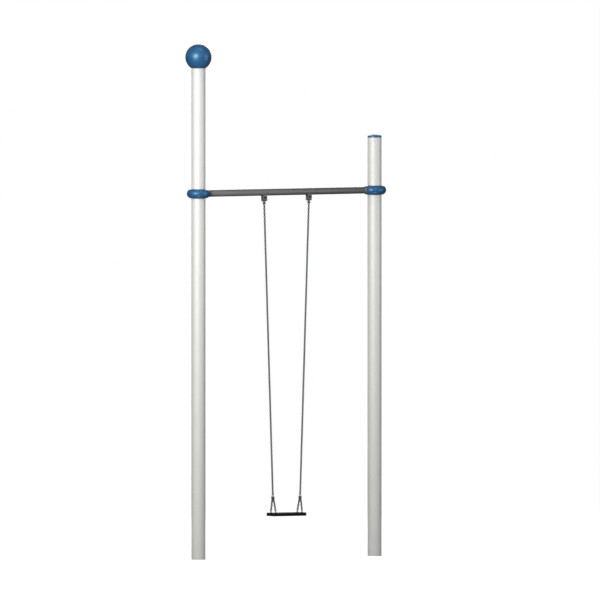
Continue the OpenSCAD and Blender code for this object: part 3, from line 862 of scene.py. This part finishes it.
class SWING_OT_crossbar(bpy.types.Operator):
    """Turns the crossbar's tube and smooths its two tapered necks"""

    bl_idname = "swing.crossbar"
    bl_label = "Crossbar and necks"

    def execute(self, context):
        sizes = settings(context).frame
        middle, half = middle_and_half("crossbar")
        inner = half.y - sizes.bar_wall
        profile = tube_profile(half.y, inner, -half.x, half.x, sizes.rim_ease)
        mesh = to_mesh(turned(profile, 96), Matrix.Translation(middle) @ ALONG_X)
        seat_mesh("crossbar_tube", mesh, "frame", "grey_tube", "crossbar")
        for side in SIDES:
            smoothed(side + "_neck_casting", "grey_casting", side + "_bar_neck")
        return DONE


class SWING_OT_hangers(bpy.types.Operator):
    """Smooths the hangers' brackets, yokes and shackles, and lays the weld beads of the brackets"""

    bl_idname = "swing.hangers"
    bl_label = "Hangers"

    def execute(self, context):
        sizes = settings(context).frame
        tree = bead_tree()
        bar, half = middle_and_half("crossbar")
        beads = []
        for side in SIDES:
            bracket = side + "_hanger_bracket"
            smoothed(bracket + "_casting", "grey_casting", bracket)
            smoothed(side + "_yoke_casting", "grey_casting", side + "_yoke")
            smoothed(side + "_bow_shackle", "galvanised", side + "_shackle")
            smoothed(side + "_bow_shackle_pin", "stainless", side + "_shackle_pin")
            low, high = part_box(bracket)
            reach = high.y - sizes.weld / 4
            height = bar.z - math.sqrt(half.z**2 - reach**2)
            for way in (-1, 1):
                ends = {"Start": (low.x, way * reach, height), "End": (high.x, way * reach, height)}
                look = {"Radius": sizes.weld / 2, "Ripples": sizes.weld_ripples, "Seed": way + 2}
                beads.append(grow(tree, "bead", "weld", **ends, **look))
        seat_piece(joined("hanger_weld_beads", "weld", beads), "frame", "grey_casting")
        return DONE


def joined(name, slot, parts):
    """Several plain mesh objects made one."""
    shape = bmesh.new()
    for part in parts:
        shape.from_mesh(part.data)
        bpy.data.objects.remove(part)
    return finish_mesh(name, to_mesh(shape), slot)


# Fasteners


# sides of a turned fastener, a multiple of six so that hexagons keep their corners
TURNS = 48


def socket_head(shank_r, shank, head_r, head, key, dome):
    """A screw with a hexagon socket; its head's seat is at z = 0, and the head rises along z."""
    ease = head * 0.08
    key_r = key / 2
    profile = [(0, -shank), (shank_r * 0.8, -shank), (shank_r, -shank + shank_r * 0.3), (shank_r, 0)]
    if dome:
        steps, top = 8, math.radians(68)
        profile += [(head_r, 0), (head_r, head * 0.15)]
        for i in range(1, steps + 1):
            turn = top * i / steps
            rise = math.sin(turn) / math.sin(top)
            profile.append((head_r * math.cos(turn), head * (0.15 + 0.85 * rise)))
    else:
        profile += [(head_r - ease, 0), (head_r, ease), (head_r, head - 2 * ease)]
        profile += [(head_r - ease, head - 0.6 * ease), (head_r - 2 * ease, head)]
    profile += [(key_r * 1.2, head), (key_r, head - ease, 0), (key_r, head * 0.35, 0), (0, head * 0.25)]
    return turned(profile, TURNS)


# how steeply a nut's or a bolt head's corners are bevelled
BEVEL = 0.35


def hex_nut(bore_r, flats, height):
    """A chamfered nut on z = 0."""
    r = flats / 2
    chamfer = height * 0.05
    profile = [(bore_r, chamfer), (bore_r + chamfer, 0), (r * 0.94, 0), (r * 0.98, chamfer, -BEVEL)]
    profile += [(r * 0.98, height - chamfer, BEVEL), (r * 0.94, height), (bore_r + chamfer, height)]
    return turned(profile + [(bore_r, height - chamfer)], TURNS)


def hex_bolt(shank_r, shank, flats, head):
    """A bolt whose head stands on z = 0 and whose shank runs down, with threads on its last third."""
    r = flats / 2
    chamfer = head * 0.06
    profile = [(0, -shank), (shank_r * 0.82, -shank)]
    turns, pitch = 8, shank_r * 0.3
    for i in range(turns):
        z = -shank + shank_r * 0.2 + i * pitch
        profile += [(shank_r, z), (shank_r * 0.9, z + pitch / 2)]
    profile += [(shank_r, -shank + shank_r * 0.2 + turns * pitch), (shank_r, 0), (r * 0.96, 0)]
    profile += [(r * 0.98, chamfer, 0), (r * 0.98, head - chamfer, BEVEL), (r * 0.92, head)]
    return turned(profile + [(0, head * 0.97)], TURNS)


def fasten(name, tree, shape, slot, places, node):
    """Copies of one fastener at (place, aim) pairs on the frame, grown as one piece."""
    pattern = linked("pattern", to_mesh(shape))
    base = bpy.data.meshes.new("places")
    base.from_pydata([place for place, _ in places], [], [])
    aims = base.attributes.new("aim", "FLOAT_VECTOR", "POINT")
    for point, (_, aim) in zip(aims.data, places):
        point.vector = aim
    piece = grow(tree, name, slot, base, Fastener=pattern)
    bpy.data.objects.remove(pattern)
    return seat_piece(piece, "frame", slot, node)


class SWING_OT_fasteners(bpy.types.Operator):
    """Sets the screws, bolts and nuts in their places"""

    bl_idname = "swing.fasteners"
    bl_label = "Screws, bolts and nuts"

    def execute(self, context):
        sizes = settings(context).frame
        tree = fastener_tree()
        bar, half = middle_and_half("crossbar")
        bulge = middle_and_half("left_collar_outer")[1].z

        d = sizes.plug_screw
        for side, node in (("left", "finial_screws"), ("right", "cap_screws")):
            middle, radius = centre_and_radius(side + "_post")
            middle.z = box_middle(node).z
            places = []
            for turn in (60, 180, 300) if side == "left" else (120, 0, -120):
                aim = Vector((math.cos(math.radians(turn)), math.sin(math.radians(turn)), 0))
                places.append((middle + aim * radius, aim))
            screw = socket_head(d / 2, 2 * d, 0.9 * d, 0.5 * d, 0.62 * d, True)
            fasten(node + "_set", tree, screw, "post_finish", places, node)

        at = {name: [] for name in ("bar_screw", "neck_screw", "collar_bolt", "collar_nut")}
        at.update(pivot_bolt=[], pivot_nut=[])
        for side, sign in SIDES.items():
            post, radius = centre_and_radius(side + "_post")
            inward = Vector((-sign, 0, 0))
            for reach in sizes.bar_screw_reaches:
                place = Vector((bar.x + sign * (half.x - reach), half.z - 0.5 * MM, bar.z))
                at["bar_screw"].append((place, Vector((0, 1, 0))))
            for y, z in ((-1, -1), (-1, 1), (1, -1), (1, 1)):
                place = Vector((post.x, y * sizes.neck_screw_y, bar.z + z * sizes.neck_screw_z))
                at["neck_screw"].append((place + inward * (radius + sizes.neck_head_depth), -inward))
                line = Vector((post.x, y * (radius + bulge / 2), bar.z + z * sizes.collar_bolt_z))
                at["collar_bolt"].append((line - inward * sizes.collar_seat, -inward))
                at["collar_nut"].append((line + inward * sizes.collar_nut_seat, inward))
            low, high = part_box(side + "_hanger_bracket")
            height = joint_place(side + "_swing").z
            outer, inner = (low.x, high.x) if sign < 0 else (high.x, low.x)
            at["pivot_bolt"].append((Vector((outer, 0, height)), -inward))
            at["pivot_nut"].append((Vector((inner, 0, height)), inward))

        low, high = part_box("left_hanger_bracket")
        n, c, p = sizes.neck_screw, sizes.collar_bolt, sizes.pivot_bolt
        grip = sizes.collar_seat + sizes.collar_nut_seat
        for name, slot, shape in (
            ("bar_screw", "stainless", socket_head(n / 2, 1.4 * n, 0.9 * n, 0.5 * n, 0.62 * n, True)),
            ("neck_screw", "stainless", socket_head(n / 2, 5.4 * n, 0.8 * n, 0.7 * n, 0.7 * n, False)),
            ("collar_bolt", "blue_casting", socket_head(c / 2, grip + c, 0.8 * c, c, 0.8 * c, False)),
            ("collar_nut", "blue_casting", hex_nut(c / 2, 1.6 * c, 0.8 * c)),
            ("pivot_bolt", "stainless", hex_bolt(p / 2, high.x - low.x + p, 1.5 * p, 0.6 * p)),
            ("pivot_nut", "stainless", hex_nut(p / 2, 1.5 * p, 0.85 * p)),
        ):
            fasten(name + "_set", tree, shape, slot, at[name], name + "s")
        return DONE


# Chains


def chain_turn(down, beside):
    """The turn that lays a chain along down, with its odd links facing across beside."""
    up = -down
    across = (beside - up * beside.dot(up)).normalized()
    return Matrix((across, up.cross(across), up)).transposed().to_euler()


class SWING_OT_chains(bpy.types.Operator):
    """Lays the links of both chains and of the four legs under them"""

    bl_idname = "swing.chains"
    bl_label = "Chains"

    def execute(self, context):
        chain = settings(context).chain
        tree = chain_tree()
        pitch = chain.inside_length - chain.slack

        def row(name, count, first, down):
            inside = {"Length": chain.inside_length, "Width": chain.inside_width}
            wire = {"Wire": chain.wire, "Sides": chain.sides, "Pitch": pitch, **inside}
            turn = chain_turn(down, Vector((1, 0, 0)))
            return grow(tree, name, "galvanised", Links=count, Turn=turn, Place=first, **wire)

        legs = []
        for side in SIDES:
            last = box_middle(side + "_end_link")
            top = joint_place(side + "_sway")
            down = (joint_place(side + "_roll") - top).normalized()
            count = round(((last - top).length - chain.inside_length) / pitch)
            first = last - down * (pitch * count)
            links = row(side + "_chain_links", count, first, down)
            seat_piece(links, side + "_line", "galvanised", side + "_chain")
            link = row(side + "_last_link", 1, last, down)
            seat_piece(link, side + "_connector", "galvanised", side + "_end_link")
            pin = box_middle(side + "_bridle_pin")
            for leg, way in (("front", -1), ("back", 1)):
                middle = box_middle(f"{side}_{leg}_leg")
                start = Vector((pin.x, way * chain.leg_start, pin.z))
                down_leg = (middle - start).normalized()
                first = middle - down_leg * (pitch * (chain.leg_links - 1) / 2)
                legs.append(row("leg", chain.leg_links, first, down_leg))
        piece = joined("leg_links", "galvanised", legs)
        nodes = [f"{side}_{leg}_leg" for side in SIDES for leg in ("front", "back")]
        seat_piece(piece, "seat", "galvanised", *nodes)
        return DONE


# Seat


def rounded_rectangle(half_x, half_y, corner, steps=10):
    """Points round a rectangle with round corners, anticlockwise."""
    points = []
    for quarter, (i, j) in enumerate(((1, 1), (-1, 1), (-1, -1), (1, -1))):
        centre = (i * (half_x - corner), j * (half_y - corner))
        points += arc(centre, corner, 90 * quarter, 90 * quarter + 90, steps)
    return points


def slab(levels, half_x, half_y, corner, steps=10):
    """A solid lofted through rounded rectangles, each given as (inset, z)."""
    shape = bmesh.new()
    rings = []
    for inset, z in levels:
        outline = rounded_rectangle(half_x - inset, half_y - inset, max(corner - inset, 1e-4), steps)
        rings.append([shape.verts.new((x, y, z)) for x, y in outline])
    count = len(rings[0])
    for low, high in zip(rings, rings[1:]):
        for i in range(count):
            j = (i + 1) % count
            shape.faces.new((low[i], low[j], high[j], high[i]))
    shape.faces.new(rings[0][::-1])
    shape.faces.new(rings[-1])
    return shape


def seat_cutters(sizes, half_z, eyes, plate):
    """What is cut from the seat: tread grooves, the eye bolts' recesses and holes, the plate's space."""
    cuts = bmesh.new()

    def add(shape, place):
        part = to_mesh(shape, Matrix.Translation(place))
        cuts.from_mesh(part)
        bpy.data.meshes.remove(part)

    width, depth = sizes.groove_width / 2, sizes.groove_depth
    for i in range(sizes.groove_count):
        y = (i - (sizes.groove_count - 1) / 2) * sizes.groove_pitch
        # wider at the top, so that the groove's sides slope as a mould's do
        levels = [(width * 0.6, -depth), (width * 0.3, -depth * 0.6), (0, depth * 0.4)]
        add(slab(levels, sizes.groove_length / 2, width * 1.35, width * 1.3, 5), (0, y, half_z))
    def plug_shape(radius, bottom, top):
        return [(0, bottom), (radius, bottom), (radius, top), (0, top)]

    for eye in eyes:
        recess = plug_shape(sizes.recess / 2, -1.5 * MM, sizes.recess_depth)
        add(turned(recess, TURNS), (eye.x, eye.y, -half_z))
        hole = plug_shape(sizes.sleeve / 2, -2 * half_z, MM)
        add(turned(hole, 32), (eye.x, eye.y, half_z))
    low, high = plate
    half = (high - low) / 2
    space = slab([(0, -half.z), (0, half.z)], half.x, half.y, sizes.corner / 2)
    add(space, (0, 0, (low.z + high.z) / 2))
    return to_mesh(cuts)


class SWING_OT_seat(bpy.types.Operator):
    """Moulds the rubber seat round its plate, with its tread, its rim and the eye bolts' recesses"""

    bl_idname = "swing.seat"
    bl_label = "Seat"

    def execute(self, context):
        sizes = settings(context).seat
        middle, half = middle_and_half("seat_body")
        edge, seam = sizes.edge, sizes.seam
        levels = []
        steps = 8
        for i in range(steps + 1):
            turn = math.radians(90 * i / steps)
            levels.append((edge * (1 - math.sin(turn)), -half.z + edge * (1 - math.cos(turn))))
        rim = sizes.rim / 2
        levels += [(0, -rim), (seam, -rim + seam), (seam, rim - seam), (0, rim)]
        levels += [(inset, -z) for inset, z in reversed(levels[: steps + 1])]
        solid = to_mesh(slab(levels, half.x, half.y, sizes.corner, 14))
        body = finish_mesh("seat_rubber", solid, "black_rubber")
        caps = middle_and_half("seat_nut_caps")[1]
        reach_x, reach_y = caps.x - sizes.recess / 2, caps.y - sizes.recess / 2
        eyes = [Vector((x, y, 0)) for x in (-reach_x, reach_x) for y in (-reach_y, reach_y)]
        plate = [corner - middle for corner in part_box("seat_plate")]
        cutter = linked("cutter", seat_cutters(sizes, half.z, eyes, plate))
        cut = body.modifiers.new("cut", "BOOLEAN")
        cut.operation, cut.object, cut.solver = "DIFFERENCE", cutter, "EXACT"
        mesh = bpy.data.meshes.new_from_object(body.evaluated_get(context.evaluated_depsgraph_get()))
        bpy.data.objects.remove(body)
        bpy.data.objects.remove(cutter)
        mesh.transform(Matrix.Translation(middle))
        seat_mesh("seat_rubber", mesh, "seat", "black_rubber", "seat_body", angle=SEAT_ANGLE)

        smoothed("eye_bolt_set", "stainless", "seat_eye_bolts")
        smoothed("nut_cap_set", "black_plastic", "seat_nut_caps")
        for side in SIDES:
            smoothed(side + "_bridle_bow", "galvanised", side + "_bridle_shackle")
            smoothed(side + "_bridle_bow_pin", "stainless", side + "_bridle_pin")
        return DONE


# Stage


def away(a, e):
    """The direction from the swing at an azimuth and an elevation."""
    return Vector((math.sin(a) * math.cos(e), -math.cos(a) * math.cos(e), math.sin(e)))


def area_light(name, azimuth, elevation, distance, size, power, tint, aim):
    """A soft box that faces the swing, seen from it at an azimuth and an elevation in degrees."""
    light = bpy.data.lights.new(name, "AREA")
    light.shape, light.size, light.size_y = "RECTANGLE", *size
    light.energy, light.color = power, tint
    look_back(linked(name, light), aim, away(math.radians(azimuth), math.radians(elevation)), distance)


def look_back(item, aim, direction, distance):
    """Stands a lamp or a camera off from its aim, and turns it to face the aim."""
    item.location = aim + direction * distance
    item.rotation_euler = direction.to_track_quat("Z", "Y").to_euler()


FLOOR_REACH, VIEW_REACH, VIEW_DISTANCE = 300, 1000, 30
SOFT_BOXES = (
    # name, azimuth, elevation, distance, size, power, tint
    ("key", -58, 21, 9.0, (3.6, 4.6), 640, (1.0, 0.995, 0.98)),
    ("rim", 42, 10, 9.0, (1.0, 4.4), 150, (0.97, 0.99, 1.0)),
    ("top", -20, 78, 8.0, (4.0, 3.0), 40, (1.0, 1.0, 1.0)),
    ("back", 150, 22, 9.0, (3.6, 4.6), 420, (1.0, 1.0, 1.0)),
)


class SWING_OT_stage(bpy.types.Operator):
    """Sets the pale floor, the soft light and the camera"""

    bl_idname = "swing.stage"
    bl_label = "Stage"

    def execute(self, context):
        studio = settings(context).studio
        scene = context.scene
        scene.view_settings.view_transform = "Standard"

        floor_mesh = bpy.data.meshes.new("floor")
        corners = [(x * FLOOR_REACH, y * FLOOR_REACH, 0) for x, y in ((-1, -1), (1, -1), (1, 1), (-1, 1))]
        floor_mesh.from_pydata(corners, [], [(0, 1, 2, 3)])
        floor = linked("studio_floor", floor_mesh)
        floor.location.z = CAD_BOX[0][2]
        paint = Finish("Pale floor", (0.3, 0.3, 0.3), 0.9)
        seen = paint.tree.nodes.new("ShaderNodeLightPath").outputs["Is Camera Ray"]
        glow = maths(paint.tree, "MULTIPLY", seen, studio.floor_glow)
        paint.give({"Specular IOR Level": 0.0, "Emission Color": (1, 1, 1, 1), "Emission Strength": glow})
        soft = paint.group("coat", Peel=0.02, Patch=2.5)
        paint.blend(soft["Tone"], (0.28, 0.28, 0.28), 0.5)
        floor_mesh.materials.append(paint.done())

        world = bpy.data.worlds.new("Soft room")
        scene.world = world
        world.use_nodes = True
        tree = world.node_tree
        seen = tree.nodes.new("ShaderNodeLightPath").outputs["Is Camera Ray"]
        strength = remap(tree, seen, 0.0, 1.0, studio.room_light, 1.0)
        feed(tree, tree.nodes["Background"], {"Color": (1, 1, 1, 1), "Strength": strength})

        aim = Vector((0, 0, (CAD_BOX[0][2] + CAD_BOX[1][2]) / 2))
        for box in SOFT_BOXES:
            area_light(*box, aim)

        right = Vector((math.cos(studio.azimuth), math.sin(studio.azimuth), 0))
        camera = bpy.data.cameras.new("Camera")
        camera.type, camera.ortho_scale, camera.clip_end = "ORTHO", studio.width, VIEW_REACH
        viewer = linked("Camera", camera)
        aim = right * studio.aim_right + Vector((0, 0, studio.aim_height))
        look_back(viewer, aim, away(studio.azimuth, studio.elevation), VIEW_DISTANCE)
        scene.camera = viewer
        return DONE


class SWING_PT_panel(bpy.types.Panel):
    """Lists the swing's pieces and settings"""

    bl_idname = "SWING_PT_panel"
    bl_label = "Playground swing"
    bl_space_type = "VIEW_3D"
    bl_region_type = "UI"
    bl_category = "Swing"

    def draw(self, context):
        held = settings(context)
        for group in ("finishes", "frame", "chain", "seat", "studio"):
            column = self.layout.box().column()
            column.label(text=group.capitalize())
            values = getattr(held, group)
            for name in values.__annotations__:
                column.prop(values, name)
        for maker in OPERATORS:
            self.layout.operator(maker.bl_idname)


OPERATORS = (SWING_OT_finishes, SWING_OT_stage, SWING_OT_posts, SWING_OT_post_tops, SWING_OT_collars)
OPERATORS += (SWING_OT_crossbar, SWING_OT_hangers, SWING_OT_fasteners, SWING_OT_chains, SWING_OT_seat)
SETTINGS = (SwingFinishes, SwingFrame, SwingChain, SwingSeat, SwingStudio, SwingSettings)
CLASSES = (*SETTINGS, *OPERATORS, SWING_PT_panel)


def register():
    for made in CLASSES:
        bpy.utils.register_class(made)
    bpy.types.Scene.swing = PointerProperty(type=SwingSettings)


def unregister():
    del bpy.types.Scene.swing
    for made in reversed(CLASSES):
        bpy.utils.unregister_class(made)


def main():
    register()
    for maker in OPERATORS:
        group, name = maker.bl_idname.split(".")
        getattr(getattr(bpy.ops, group), name)()


if __name__ == "__main__":
    main()
